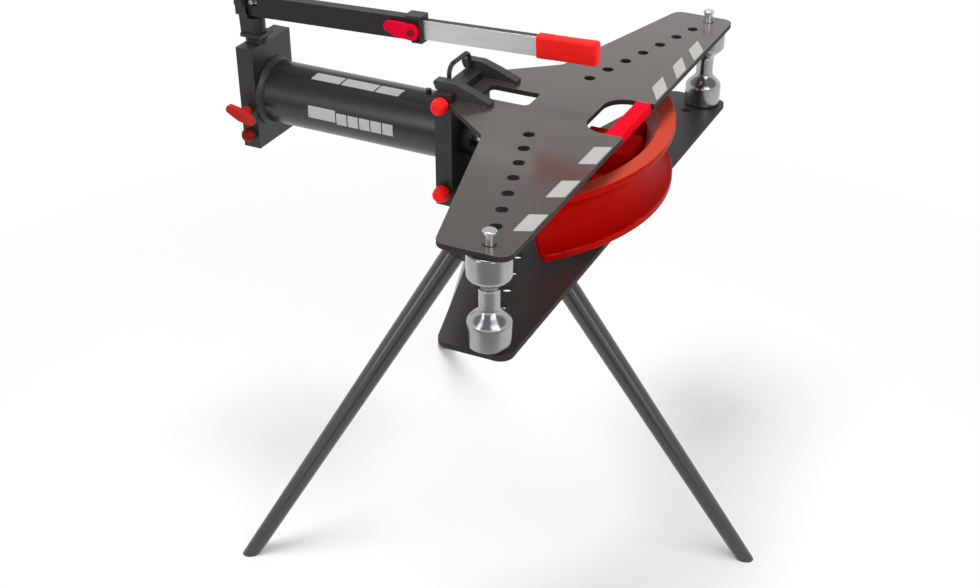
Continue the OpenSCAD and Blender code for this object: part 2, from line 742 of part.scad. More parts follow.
module plunger_seal() {
    color([0.08, 0.08, 0.08]) placed() translate([plunger_x, -pump_side, pump_floor + 8])
        tube(plunger_d, plunger_d - 4, 4);
}
module release_spindle() {
    half = block_w / 2;
    color([0.6, 0.6, 0.62]) placed() translate([block_mid, -half, valve_z]) {
        across(10, -10, 12);
        translate([0, 12, 0]) rotate([-90, 0, 0]) cylinder(d1 = 10, d2 = 3, h = 5);
    }
}
module release_wing() {
    blade = wing_span / 2;
    leaf = [[0, -10, 0], [blade, -6, 5], [blade, 6, 5], [0, 10, 0]];
    wing_tilt = 20;
    stem = 15;
    color([0.8, 0.12, 0.06]) placed() translate([block_mid, -block_w / 2 - 4, valve_z])
        rotate([0, wing_tilt, 0]) difference() {
            union() {
                across(16, -stem - 4, 0);
                for (side = [0, 180]) rotate([0, side, 0]) translate([0, -stem, 0]) rotate([90, 0, 0])
                    linear_extrude(9) polygon(rounded(leaf, 4));
            }
            across(10, -6, 1);
        }
}
module bleed_cap() {
    r = cap_d / 2;
    outline = [[0, 0], [r - 3, 0], [r - 3, 3], [r, 5], [r, 12], [r - 3, 16], [0, 17]];
    color([0.75, 0.07, 0.04]) placed() translate([block_mid, -block_w / 2, cap_z]) {
        across(10, 0, 14);
        rotate([90, 0, 0]) rotate_extrude() polygon(outline);
    }
}

// Lever: outer tube with an open rear fork, collar, sliding bar, grip and latch
module lever_tube() {
    rear = -tube_back;
    iw = tube_w / 2 - tube_wall;
    ih = tube_h / 2 - tube_wall;
    slot_len = throw_len * (cos(lever_tilt) / cos(lever_tilt + lever_swing) - 1);
    color([0.15, 0.15, 0.16]) placed() on_lever() difference() {
        span([rear, -tube_w / 2, -tube_h / 2], [tube_len, tube_w / 2, tube_h / 2]);
        span([rear - 1, -iw, -ih], [tube_len + 1, iw, ih]);
        span([rear - 1, -iw, -tube_h], [75, iw, 0]);
        translate([0, 0, pivot_up]) {
            across(fulcrum_d + 2 * run_gap, -tube_w, tube_w);
            for (u = [throw_len - 0.6, throw_len + slot_len + 0.6]) translate([u, 0, 0])
                across(11, -tube_w, tube_w);
            span([throw_len - 0.6, -tube_w, -5.5], [throw_len + slot_len + 0.6, tube_w, 5.5]);
        }
        translate([latch_u, 0, latch_w]) across(6, -tube_w, 0);
    }
}
// The collar's near side stays open, because the latch swings there
module lever_collar() {
    w = tube_w / 2;
    h = tube_h / 2;
    grow = 3;
    lip = tube_len + collar_lip;
    color([0.08, 0.08, 0.09]) placed() on_lever() difference() {
        union() {
            span([lip - 28, -w - grow, h], [lip, w + grow, h + grow + 1.5]);
            span([lip - 18, -w - grow, -h - grow], [lip, w + grow, -h]);
            span([lip - 18, w, -h - grow], [lip, w + grow, h + grow]);
            span([tube_len + 0.4, -w - grow, -h - grow], [lip, w + grow, h + grow]);
        }
        span([tube_len - 1, -slide_w / 2 - slide_gap, -slide_h / 2 - slide_gap],
            [lip + 1, slide_w / 2 + slide_gap, slide_h / 2 + slide_gap]);
    }
}
module slide_bar() {
    wall = 2;
    rear = tube_len - slide_in;
    front = slide_front + grip_len - 8;
    tail = tube_w / 2 - tube_wall - slide_gap;
    color([0.75, 0.76, 0.77]) placed() on_lever() difference() {
        union() {
            span([rear, -slide_w / 2, -slide_h / 2], [front, slide_w / 2, slide_h / 2]);
            span([rear, -tail, -slide_h / 2], [rear + 18, tail, slide_h / 2]);
        }
        span([rear - 1, -slide_w / 2 + wall, -slide_h / 2 + wall],
            [front - 4, slide_w / 2 - wall, slide_h / 2 - wall]);
    }
}
module grip() {
    edge = 4;
    color([0.85, 0.1, 0.1]) placed() on_lever() difference() {
        translate([slide_front, 0, 0]) rotate([90, 0, 90]) linear_extrude(grip_len)
            polygon(rounded([[-grip_w / 2, -grip_h / 2, edge], [grip_w / 2, -grip_h / 2, edge],
                [grip_w / 2, grip_h / 2, edge], [-grip_w / 2, grip_h / 2, edge]], 5));
        span([slide_front - 1, -slide_w / 2, -slide_h / 2],
            [slide_front + grip_len - 8, slide_w / 2, slide_h / 2]);
    }
}
module latch_pin() {
    out = -tube_w / 2 - slide_gap - latch_t - slide_gap;
    color([0.3, 0.05, 0.06]) placed() on_lever() translate([latch_u, 0, latch_w]) {
        across(6, out, -tube_w / 2 + tube_wall);
        across(11, out - 2, out);
    }
}
module latch() {
    near = -tube_w / 2 - slide_gap;
    color([0.85, 0.02, 0.1]) placed() on_lever() translate([latch_u, near, latch_w]) rotate([90, 0, 0])
        difference() {
            linear_extrude(latch_t) union() {
                circle(d = 24);
                polygon([[2, 12], [-latch_len, 13], [-latch_len, -3], [-latch_len + 8, -8], [0, -12]]);
                translate([-latch_len, 5]) circle(d = 16);
            }
            translate([0, 0, -1]) cylinder(d = 6 + 2 * run_gap, h = latch_t + 2);
        }
}

// Tripod
// Base plate, boss and three sockets
hub_bolt_x = [-34, 52];
hub_bolt_y = 24;
socket_start = 52;
boss_d = leg_d + 29;
boss_low = leg_d + 21;
module leg_hub() {
    bore = leg_d + 2 * seat_gap;
    color([0.17, 0.17, 0.18]) placed() difference() {
        union() {
            translate(apex) span([-44, -34, -8], [62, 34, 0]);
            translate(apex) translate([0, 0, -boss_low]) cylinder(d = boss_d, h = boss_low - 4);
            for (turn = [0, leg_angle, -leg_angle]) on_leg(turn) translate([0, 0, socket_start])
                cylinder(d = bore + 2 * socket_wall, h = leg_seat + socket_len - socket_start);
        }
        for (turn = [0, leg_angle, -leg_angle]) on_leg(turn) {
            translate([0, 0, leg_seat]) cylinder(d = bore, h = socket_len + 1);
            translate([0, 0, leg_seat + socket_len - 18]) rotate([0, 90, 0])
                cylinder(d = 8 + 2 * seat_gap, h = leg_d);
        }
    }
}
module hub_bolts() {
    color([0.35, 0.35, 0.36]) placed() for (x = hub_bolt_x) for (y = [-1, 1])
        translate(apex + [x, y * hub_bolt_y, -14]) cylinder(d = 13, h = 6, $fn = 6);
}
module leg(turn) {
    long = leg_len + 40;
    held = leg_seat + socket_len;
    foot_r = leg_d / 2 - (leg_d - foot_d) / 2 * (long - held) / (leg_len - held);
    color([0.2, 0.2, 0.21]) placed() difference() {
        on_leg(turn) difference() {
            union() {
                translate([0, 0, leg_seat]) cylinder(d = leg_d, h = socket_len);
                translate([0, 0, held]) cylinder(d1 = leg_d, d2 = 2 * foot_r, h = long - held);
            }
            translate([0, 0, leg_seat - 1]) cylinder(d = foot_d - 5, h = leg_len - leg_seat - 60);
        }
        translate([-2000, -2000, -deck_h - 500]) cube([4000, 4000, 500]);
    }
}
module front_leg() { leg(0); }
module far_leg() { leg(leg_angle); }
module near_leg() { leg(-leg_angle); }
module leg_screws() {
    r = leg_d / 2 + seat_gap + socket_wall;
    color([0.35, 0.35, 0.36]) placed() for (turn = [0, leg_angle, -leg_angle]) on_leg(turn)
        translate([0, 0, leg_seat + socket_len - 18]) rotate([0, 90, 0]) {
            translate([0, 0, leg_d / 2 + 0.3]) cylinder(d = 8, h = socket_wall + 6);
            translate([0, 0, r + 0.6]) cylinder(d = 15, h = 6, $fn = 6);
        }
}

bottom_plate();
top_plate();
upper_near_claw();
upper_far_claw();
lower_near_claw();
lower_far_claw();
lifting_bail();
notch_bar();
head_block();
oil_jacket();
pressure_cylinder();
rear_collar();
gland_nut();
gland_bush();
rod_seal();
filler_plug();
pump_block();
pump_barrel();
pump_bracket();
fulcrum_pin();
check_balls();
check_springs();
passage_plugs();
leg_hub();
hub_bolts();
front_leg();
near_leg();
far_leg();
leg_screws();
pin_cups();
ram_rod();
piston();
piston_seal();
piston_nut();
return_spring();
ram_head();
former_rim();
former_hub();
lock_pin();
lever_tube();
lever_collar();
latch_pin();
plunger();
plunger_pin();
plunger_seal();
slide_bar();
grip();
latch();
release_spindle();
release_wing();
bleed_cap();
upper_cross_pin();
upper_knob();
lower_cross_pin();
lower_knob();
near_roller();
far_roller();
near_pin();
far_pin();
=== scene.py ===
"""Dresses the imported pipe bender: eased edges, welds, blank labels, a ribbed grip and its finishes."""
import json
import math

import bmesh
import bpy
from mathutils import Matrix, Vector


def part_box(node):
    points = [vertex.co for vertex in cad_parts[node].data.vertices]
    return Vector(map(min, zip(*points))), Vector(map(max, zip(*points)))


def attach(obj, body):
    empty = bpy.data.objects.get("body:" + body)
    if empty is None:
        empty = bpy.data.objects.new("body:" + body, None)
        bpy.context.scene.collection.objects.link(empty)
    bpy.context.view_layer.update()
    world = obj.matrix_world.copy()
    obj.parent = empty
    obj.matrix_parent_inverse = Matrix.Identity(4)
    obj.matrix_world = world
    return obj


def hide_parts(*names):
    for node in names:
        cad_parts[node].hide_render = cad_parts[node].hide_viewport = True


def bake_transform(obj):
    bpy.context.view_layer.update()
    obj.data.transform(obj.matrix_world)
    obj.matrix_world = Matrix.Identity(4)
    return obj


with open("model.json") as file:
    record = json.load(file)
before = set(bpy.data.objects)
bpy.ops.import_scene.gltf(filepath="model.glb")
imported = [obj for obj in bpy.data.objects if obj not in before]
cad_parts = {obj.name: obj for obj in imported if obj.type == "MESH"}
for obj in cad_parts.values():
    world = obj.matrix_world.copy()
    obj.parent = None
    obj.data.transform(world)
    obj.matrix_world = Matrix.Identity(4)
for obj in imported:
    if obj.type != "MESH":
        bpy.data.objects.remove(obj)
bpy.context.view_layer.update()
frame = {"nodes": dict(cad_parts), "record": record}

MM = 0.001
X, Y, Z = Vector((1, 0, 0)), Vector((0, 1, 0)), Vector((0, 0, 1))
NODES = frame["nodes"]
RECORD = frame["record"]
BODY_OF = {node: body for body, members in RECORD["behaviour"]["bodies"].items() for node in members}
SLOT_OF = {piece["node"]: piece["material_slot"] for piece in RECORD["subparts"]}
# The bench mark: middle of the plates' front edge, on the upper plate's top face
PLATE_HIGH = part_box("top_plate")[1]
DATUM = Vector((PLATE_HIGH.x, 0.0, PLATE_HIGH.z))


def place(x, y, z):
    """A point given in millimetres from the bench mark."""
    return Vector((x, y, z)) * MM + DATUM


def extent(node):
    """A node's low and high corner in millimetres from the bench mark."""
    low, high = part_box(node)
    return (low - DATUM) / MM, (high - DATUM) / MM


# Shader words


class Wire:
    """A socket in a node tree that can be used in sums."""

    def __init__(self, nodes, socket):
        self.nodes, self.socket = nodes, socket

    def sum(self, operation, a, b):
        """One step of arithmetic on wires or numbers."""
        return self.nodes.node("ShaderNodeMath", {"operation": operation}, {0: a, 1: b})

    def __add__(self, other):
        return self.sum("ADD", self, other)

    def __radd__(self, other):
        return self.sum("ADD", other, self)

    def __sub__(self, other):
        return self.sum("SUBTRACT", self, other)

    def __rsub__(self, other):
        return self.sum("SUBTRACT", other, self)

    def __mul__(self, other):
        return self.sum("MULTIPLY", self, other)

    def __rmul__(self, other):
        return self.sum("MULTIPLY", other, self)


class Nodes:
    """A node tree and the words that a surface is written in."""

    def __init__(self, tree):
        self.tree = tree

    def node(self, kind, settings=None, sockets=None, out=0):
        """Adds a node. A socket takes a wire as its link and anything else as its value."""
        made = self.tree.nodes.new(kind)
        for key, value in (settings or {}).items():
            setattr(made, key, value)
        for key, value in (sockets or {}).items():
            if isinstance(value, Wire):
                self.tree.links.new(value.socket, made.inputs[key])
            else:
                made.inputs[key].default_value = value
        return Wire(self, made.outputs[out])

    def end(self, kind, shader):
        """Replaces what the tree came with by one output that shows this shader."""
        for old in [n for n in self.tree.nodes if n.bl_idname == kind]:
            self.tree.nodes.remove(old)
        last = self.tree.nodes.new(kind)
        self.tree.links.new(shader.socket, last.inputs["Surface"])

    def between(self, value, low, high, floor=0.0, top=1.0):
        """A value taken from the span low to high onto floor to top, and held there."""
        return self.node("ShaderNodeMapRange", {"clamp": True},
                         {0: value, 1: low, 2: high, 3: floor, 4: top}, "Result")

    def mix(self, share, a, b):
        """Colour a with a share of colour b."""
        return self.node("ShaderNodeMix", {"data_type": "RGBA"}, {0: share, 6: a, 7: b}, 2)


class Finish(Nodes):
    """A material with a Principled shader."""

    def __init__(self, name, **constants):
        self.material = bpy.data.materials.new(name)
        self.material.use_nodes = True
        super().__init__(self.material.node_tree)
        self.shader = next(n for n in self.tree.nodes if n.type == "BSDF_PRINCIPLED")
        for key, value in constants.items():
            self.shader.inputs[key.replace("_", " ")].default_value = value
        self.where = self.node("ShaderNodeTexCoord", out="Object")

    def noise(self, scale, detail, rough=0.55, stretch=None):
        """Cloudy noise over the piece, packed closer along each axis by the stretch."""
        spot = self.where
        if stretch:
            spot = self.node("ShaderNodeVectorMath", {"operation": "MULTIPLY"}, {0: spot, 1: stretch})
        return self.node("ShaderNodeTexNoise", {"noise_dimensions": "3D"},
                         {"Vector": spot, "Scale": scale, "Detail": detail, "Roughness": rough}, "Fac")

    def patches(self, low, high, **words):
        """Noise cut to patches: none under the low level, whole over the high one."""
        return self.between(self.noise(**words), low, high)

    def attribute(self, name):
        """A number that the mesh carries for each face."""
        return self.node("ShaderNodeAttribute", {"attribute_name": name}, out="Fac")

    def bump(self, height, depth, strength):
        """A normal that follows a height, with its depth in metres."""
        return self.node("ShaderNodeBump", None,
                         {"Strength": strength, "Distance": depth, "Height": height}, "Normal")

    def feed(self, **wires):
        """Links wires to the shader's sockets of these names."""
        for key, wire in wires.items():
            self.tree.links.new(wire.socket, self.shader.inputs[key.replace("_", " ")])


def rgba(colour, shade=1.0, lift=0.0):
    """A colour with its alpha, made darker or lighter."""
    return (*(min(1.0, c * shade + lift) for c in colour), 1.0)


def painted(name, colour, rough, worn, coat=0.0, gloss=0.15, drift=0.1, specular=0.5,
            marked=None, peel=0.55):
    """Sprayed paint: cloudy tone, fine orange peel, faint scuffs, rubbed edges and marked faces."""
    f = Finish(name, Specular_IOR_Level=specular, Coat_Weight=coat, Coat_Roughness=gloss)
    cloud = f.patches(0.3, 0.7, scale=7.0, detail=2.0)
    speck = f.patches(0.66, 0.74, scale=420.0, detail=2.0)
    scuff = f.patches(0.6, 0.8, scale=24.0, detail=5.0, rough=0.7, stretch=(1.0, 1.0, 5.0))
    rubbed = f.attribute("eased") * f.patches(0.45, 0.62, scale=70.0, detail=4.0, rough=0.7)
    tone = f.mix(cloud, rgba(colour, 1 - drift), rgba(colour, 1 + drift))
    tone = f.mix(speck * 0.35, tone, rgba(colour, 1.5, 0.01))
    tone = f.mix(scuff * 0.18, tone, rgba(colour, 1.35, 0.01))
    tone = f.mix(rubbed * 0.7, tone, rgba(worn))
    dull = rough + scuff * 0.12 + f.noise(scale=320.0, detail=2.0) * 0.06 - rubbed * 0.08
    # Marked faces: painted shade on the plates' upright edges and a painted highlight on the top of the
    # former's lip
    if marked:
        mark = f.attribute("marked")
        tone = f.mix(mark * 0.85, tone, rgba(marked))
        dull = dull + mark * 0.35
        f.feed(Coat_Weight=coat * (1.0 - mark))
    f.feed(Base_Color=tone, Roughness=dull)
    f.feed(Normal=f.bump(f.noise(scale=650.0, detail=2.0), depth=0.06 * MM, strength=peel))
    return f.material


def turned(name, colour, rough, axis):
    """Lathe-turned metal: fine rings square to the axis, with patches of duller tone."""
    f = Finish(name, Metallic=1.0)
    stretch = tuple(60.0 if k == axis else 1.0 for k in range(3))
    rings = f.noise(scale=44.0, detail=2.0, rough=0.6, stretch=stretch)
    smear = f.noise(scale=30.0, detail=3.0, rough=0.6)
    tone = f.mix(f.between(smear, 0.35, 0.7), rgba(colour, 0.84), rgba(colour))
    f.feed(Base_Color=tone, Roughness=rough + smear * 0.1 + rings * 0.08)
    f.feed(Normal=f.bump(rings, depth=0.02 * MM, strength=0.5))
    return f.material


def moulded(name, colour, rough):
    """Moulded plastic: fine grain with rubbed, slightly paler edges."""
    f = Finish(name, Specular_IOR_Level=0.14)
    tone = f.mix(f.noise(scale=35.0, detail=3.0), rgba(colour, 0.9), rgba(colour, 1.1))
    tone = f.mix(f.attribute("eased") * 0.3, tone, rgba(colour, 1.2, 0.02))
    f.feed(Base_Color=tone, Roughness=rough + f.noise(scale=200.0, detail=2.0) * 0.12)
    f.feed(Normal=f.bump(f.noise(scale=900.0, detail=2.0), depth=0.05 * MM, strength=0.5))
    return f.material


def brushed(name, colour, rough):
    """Drawn aluminium: hair lines along the bar."""
    f = Finish(name, Metallic=1.0)
    hair = f.noise(scale=40.0, detail=3.0, rough=0.65, stretch=(0.6, 30.0, 30.0))
    smear = f.noise(scale=14.0, detail=3.0, rough=0.6)
    tone = f.mix(f.between(hair, 0.3, 0.7), rgba(colour, 0.8), rgba(colour))
    f.feed(Base_Color=tone, Roughness=rough + hair * 0.16 + smear * 0.06)
    f.feed(Normal=f.bump(hair, depth=0.02 * MM, strength=0.4))
    return f.material


def blank_film(name, colour):
    """Blank printed film: matt, a little uneven, with specks of dirt."""
    f = Finish(name, Specular_IOR_Level=0.4)
    cloud = f.noise(scale=60.0, detail=4.0)
    dirt = f.patches(0.6, 0.78, scale=240.0, detail=4.0, rough=0.7)
    tone = f.mix(cloud, rgba(colour, 0.93), rgba(colour))
    tone = f.mix(dirt * 0.3, tone, rgba(colour, 0.6))
    f.feed(Base_Color=tone, Roughness=0.42 + cloud * 0.12)
    f.feed(Normal=f.bump(f.noise(scale=500.0, detail=2.0), depth=0.03 * MM, strength=0.4))
    return f.material


# Painted shade: a dark tone on the plates' upright edge faces
EDGE_SHADE_TONE = (0.012, 0.011, 0.011)
# Finishes by material slot, then those of single pieces. Paint: tone, roughness, tone where rubbed
FINISHES = {
    # The plate paint's marked tone is a painted shade on its upright edge faces
    "plate_paint": painted("plate paint", (0.033, 0.023, 0.017), 0.38, (0.15, 0.14, 0.135), coat=0.9,
                           gloss=0.19, drift=0.06, marked=EDGE_SHADE_TONE, peel=0.2),
    "block_paint": painted("block paint", (0.018, 0.018, 0.019), 0.38, (0.09, 0.09, 0.09), specular=0.45),
    "leg_paint": painted("leg paint", (0.024, 0.024, 0.024), 0.13, (0.08, 0.08, 0.08), coat=0.5),
    "crimson_paint": painted("crimson paint", (0.86, 0.0, 0.014), 0.5, (0.86, 0.01, 0.03), specular=0.02),
    # The former's marked tone is a painted highlight on the top of its lip, where it mirrors the sky
    "former_paint": painted("former paint", (0.44, 0.002, 0.0005), 0.34, (0.5, 0.05, 0.02), specular=0.03,
                            marked=(0.5, 0.075, 0.04)),
    "black_oxide": painted("black oxide", (0.012, 0.012, 0.013), 0.38, (0.07, 0.07, 0.07)),
    "steel": turned("turned steel", (0.42, 0.42, 0.425), 0.1, axis=2),
    "spring_steel": turned("spring steel", (0.34, 0.34, 0.35), 0.3, axis=0),
    "chrome_rod": turned("hard chrome", (0.78, 0.78, 0.79), 0.07, axis=0),
    "bronze": turned("bronze", (0.62, 0.42, 0.18), 0.25, axis=0),
    "seal_rubber": moulded("seal rubber", (0.012, 0.012, 0.012), 0.6),
    "bar_aluminium": brushed("bar aluminium", (0.8, 0.8, 0.8), 0.34),
    "red_plastic": moulded("red plastic", (0.97, 0.012, 0.01), 0.36),
}
# The lower plate's marked edge faces take the same painted shade
LOWER_PLATE_PAINT = painted("lower plate paint", (0.045, 0.039, 0.038), 0.4, (0.14, 0.13, 0.13),
                            drift=0.06, marked=EDGE_SHADE_TONE)
JACKET_PAINT = painted("jacket paint", (0.012, 0.012, 0.0125), 0.3, (0.08, 0.08, 0.08), coat=0.15)
WING_RED = moulded("wing red", (0.46, 0.018, 0.01), 0.38)
CAP_RED = moulded("cap red", (0.2, 0.006, 0.002), 0.4)
# A darker copy of the block paint for the lever tube: painted shade
SHADED_LEVER_PAINT = painted("lever paint", (0.008, 0.008, 0.0083), 0.36, (0.07, 0.07, 0.07), specular=0.4)
# A lighter copy of the block paint for the upper claws: painted light, for their place in the light over
# the plate
LIT_CLAW_PAINT = painted("claw paint", (0.034, 0.034, 0.035), 0.38, (0.1, 0.1, 0.1), specular=0.45)
LATCH_RED = painted("latch red", (0.78, 0.0, 0.03), 0.45, (0.7, 0.01, 0.04), specular=0.05)
PIN_CHROME = turned("pin chrome", (0.86, 0.86, 0.86), 0.14, axis=2)
STICKER_FILM = blank_film("sticker film", (0.41, 0.4, 0.385))
PANEL_FILM = blank_film("panel film", (0.5, 0.5, 0.5))

# Making pieces

# Edges that turn more than the first are rounded, and faces that turn less than the second are joined
SHARP_TURN, FLAT_TURN = math.radians(30.0), math.radians(0.4)
# Points of a CAD mesh nearer than this, in metres, are one point
SAME_POINT = 2e-6


def show(name, bm, finish, body, smooth=40.0):
    """Turns a bmesh into a piece with a finish, which rides on its body where it has one."""
    bmesh.ops.recalc_face_normals(bm, faces=bm.faces)
    mesh = bpy.data.meshes.new(name)
    bm.to_mesh(mesh)
    bm.free()
    mesh.materials.append(finish)
    mesh.shade_smooth()
    mesh.set_sharp_from_angle(angle=math.radians(smooth))
    piece = bpy.data.objects.new(name, mesh)
    bpy.context.scene.collection.objects.link(piece)
    if body:
        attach(piece, body)
    return piece


def round_edges(bm, width):
    """Rounds the edges that turn sharply, and marks the new faces for the finishes."""
    mark = bm.faces.layers.float.new("eased")
    sharp = [e for e in bm.edges if len(e.link_faces) == 2 and e.calc_face_angle(0.0) > SHARP_TURN]
    made = bmesh.ops.bevel(bm, geom=sharp, offset=width, segments=2, profile=0.5, affect="EDGES",
                           clamp_overlap=True)
    for face in made["faces"]:
        face[mark] = 1.0


def eased_copy(node, width, finish):
    """A copy of a CAD node with rounded edges, which stands for the node."""
    bm = bmesh.new()
    bm.from_mesh(NODES[node].data)
    bmesh.ops.remove_doubles(bm, verts=bm.verts, dist=SAME_POINT)
    bmesh.ops.dissolve_limit(bm, angle_limit=FLAT_TURN, verts=bm.verts, edges=bm.edges)
    round_edges(bm, width)
    if node in MARKED:
        mark = bm.faces.layers.float.new("marked")
        bm.normal_update()
        for face in bm.faces:
            face[mark] = float(MARKED[node](face.normal, face.calc_center_median()))
    piece = show("eased_" + node, bm, finish, BODY_OF[node])
    if "custom_normal" in piece.data.attributes:
        piece.data.attributes.remove(piece.data.attributes["custom_normal"])
    flat = piece.modifiers.new("flat faces stay flat", "WEIGHTED_NORMAL")
    flat.keep_sharp = True
    flat.weight = 80
    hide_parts(node)


def skin(bm, rings, closed=False):
    """Skins rows of points into a tube with closed ends."""
    rows = [[bm.verts.new(p) for p in ring] for ring in rings]
    count = len(rows[0])
    pairs = list(zip(rows, rows[1:])) + ([(rows[-1], rows[0])] if closed else [])
    for a, b in pairs:
        for k in range(count):
            bm.faces.new((a[k], a[(k + 1) % count], b[(k + 1) % count], b[k]))
    if not closed:
        bm.faces.new(rows[0][::-1])
        bm.faces.new(rows[-1])


def circle(middle, radius, across, up, count):
    """Points round a middle, in the plane of two unit vectors."""
    turns = [2 * math.pi * k / count for k in range(count)]
    return [middle + radius * (across * math.cos(t) + up * math.sin(t)) for t in turns]


# Weld beads: step between points in millimetres, sides of the bead, and how much it swells
WELD_STEP, BEAD_SIDES, BEAD_RIPPLE = 0.7, 8, 0.16
# A bead that rises by more than this share of its length counts as upright
UPRIGHT = 0.9


def weld(name, points, radius, slot="block_paint", closed=False, pitch=2.2):
    """A weld bead on the frame: a tube along points that ripples, with sizes in millimetres."""
    rings = []
    travelled = 0.0
    for i, p in enumerate(points):
        before = points[i - 1] if i or closed else p
        after = points[(i + 1) % len(points)] if closed or i + 1 < len(points) else p
        along = (after - before).normalized()
        side = (along.orthogonal() if abs(along.z) > UPRIGHT else along.cross(Z)).normalized()
        travelled += (p - before).length
        swell = 1 + BEAD_RIPPLE * math.sin(2 * math.pi * travelled / (pitch * MM))
        rings.append(circle(p, radius * MM * swell, side, side.cross(along), BEAD_SIDES))
    bm = bmesh.new()
    skin(bm, rings, closed)
    show(name, bm, FINISHES[slot], "frame", smooth=60.0)


def straight(a, b):
    """Points of a straight weld."""
    count = max(2, int((b - a).length / (WELD_STEP * MM)))
    return [a.lerp(b, i / count) for i in range(count + 1)]


def ring(middle, radius, across, up, step=WELD_STEP):
    """Points of a round weld, with its radius in millimetres."""
    return circle(middle, radius * MM, across, up, int(2 * math.pi * radius / step))


# CAD nodes with eased edges, by the width of the rounding in millimetres
EASED = {
    "top_plate": 0.7, "bottom_plate": 0.7, "upper_near_claw": 1.4, "upper_far_claw": 1.4,
    "lower_near_claw": 1.4, "lower_far_claw": 1.4, "notch_bar": 1.2, "head_block": 1.0,
    "pump_block": 2.0, "pump_bracket": 0.5, "pump_barrel": 0.5, "fulcrum_pin": 0.5,
    "gland_nut": 0.6, "rear_collar": 0.5, "leg_hub": 0.6, "hub_bolts": 0.4, "leg_screws": 0.4,
    "pin_cups": 0.5, "ram_head": 0.6, "former_rim": 1.4, "former_hub": 1.0, "lock_pin": 0.5,
    "lever_tube": 0.5, "lever_collar": 0.6, "latch": 0.9, "latch_pin": 0.4, "slide_bar": 0.5,
    "release_wing": 1.4, "bleed_cap": 0.5, "upper_knob": 0.5, "lower_knob": 0.5, "near_roller": 0.4,
    "far_roller": 0.4, "near_pin": 0.3, "far_pin": 0.3, "filler_plug": 0.4, "front_leg": 0.5,
    "near_leg": 0.5, "far_leg": 0.5,
}
# Faces with a tone of their own: painted shade on the plates' upright edges and a painted highlight on the
# top of the former's lip
LIP_DEPTH = 10 * MM
LIP_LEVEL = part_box("former_rim")[1].z - LIP_DEPTH


def shaded_edge_face(normal, _):
    """Whether a plate's face is one of its upright edge faces, which take a painted shade."""
    return abs(normal.z) < 0.5


def lip_top_highlight(normal, middle):
    """Whether a face of the former is on the top of its upper lip, which takes a painted highlight."""
    return normal.z > 0.8 and middle.z > LIP_LEVEL


MARKED = {"top_plate": shaded_edge_face, "bottom_plate": shaded_edge_face, "former_rim": lip_top_highlight}
OWN_FINISH = {"upper_near_claw": LIT_CLAW_PAINT, "upper_far_claw": LIT_CLAW_PAINT, "latch": LATCH_RED,
              "near_pin": PIN_CHROME, "far_pin": PIN_CHROME,
              "bottom_plate": LOWER_PLATE_PAINT, "oil_jacket": JACKET_PAINT, "release_wing": WING_RED,
              "bleed_cap": CAP_RED, "latch_pin": CAP_RED, "lever_tube": SHADED_LEVER_PAINT}
for node, thing in NODES.items():
    finish = OWN_FINISH.get(node, FINISHES[SLOT_OF[node]])
    if node in EASED:
        eased_copy(node, EASED[node] * MM, finish)
    thing.data.materials.clear()
    thing.data.materials.append(finish)

# Blank stickers along the upper plate's front edge: start, length and lean, in millimetres
STICKERS = {"near": [(-372, 48, 10), (-273, 52, 11), (-166, 58, 10)],
            "far": [(118, 46, -42), (208, 42, -44), (282, 44, -38)]}
STICKER_FRONT, STICKER_REAR, STICKER_THICK, STICKER_CORNER = -2, -25, 0.3, 1.2


def sticker(name, start, length, lean):
    """A thin film whose front edge leans along the plate."""
    outline = [(STICKER_REAR, start), (STICKER_REAR, start + length),
               (STICKER_FRONT, start + length + lean), (STICKER_FRONT, start + lean)]
    bm = bmesh.new()
    skin(bm, [[place(x, y, z) for x, y in outline] for z in (0, STICKER_THICK)])
    corners = [e for e in bm.edges
               if abs(e.verts[0].co.z - e.verts[1].co.z) > STICKER_THICK / 2 * MM]
    bmesh.ops.bevel(bm, geom=corners, offset=STICKER_CORNER * MM, segments=3, affect="EDGES")
    show(name, bm, STICKER_FILM, "frame")


for side, row in STICKERS.items():
    for number, (start, length, lean) in enumerate(row):
        sticker(f"{side}_sticker_{number}", start, length, lean)

# Blank panels on the oil jacket, by stations along the ram in millimetres and angles round it in degrees
JACKET_LOW, JACKET_HIGH = extent("oil_jacket")
JACKET_R = (JACKET_HIGH.y - JACKET_LOW.y) / 2
RAM_Z = (JACKET_LOW.z + JACKET_HIGH.z) / 2
PANEL_SUNK, PANEL_PROUD, PANEL_FACET = -0.3, 0.25, 2
STRIPS, STRIP_ANGLES, STRIP_SLANT = [(-537, -486), (-483, -425), (-422, -382)], (100, 118), 5
LONG_BOX, LONG_BOX_ANGLES = (-529, -480), (167, 190)
SQUARES, SQUARE_START, SQUARE_PITCH, SQUARE_WIDTH, SQUARE_ANGLES = 5, -478, 20.4, 18.2, (171, 193)


def on_jacket(x, angle, proud):
    """A point by station and angle, at a height over the jacket's skin."""
    a = math.radians(angle)
    return place(x, (JACKET_R + proud) * math.cos(a), RAM_Z + (JACKET_R + proud) * math.sin(a))


def jacket_panel(name, stations, angles, slant=0.0):
    """A film that follows the jacket, with its upper edge drawn along the ram by the slant."""
    first, last = angles
    steps = round((last - first) / PANEL_FACET)
    rows = []
    for i in range(steps + 1):
        angle = first + (last - first) * i / steps
        left, right = (x + slant * (1 - i / steps) for x in stations)
        rows.append([on_jacket(left, angle, PANEL_SUNK), on_jacket(right, angle, PANEL_SUNK),
                     on_jacket(right, angle, PANEL_PROUD), on_jacket(left, angle, PANEL_PROUD)])
    bm = bmesh.new()
    skin(bm, rows)
    show(name, bm, PANEL_FILM, "frame")


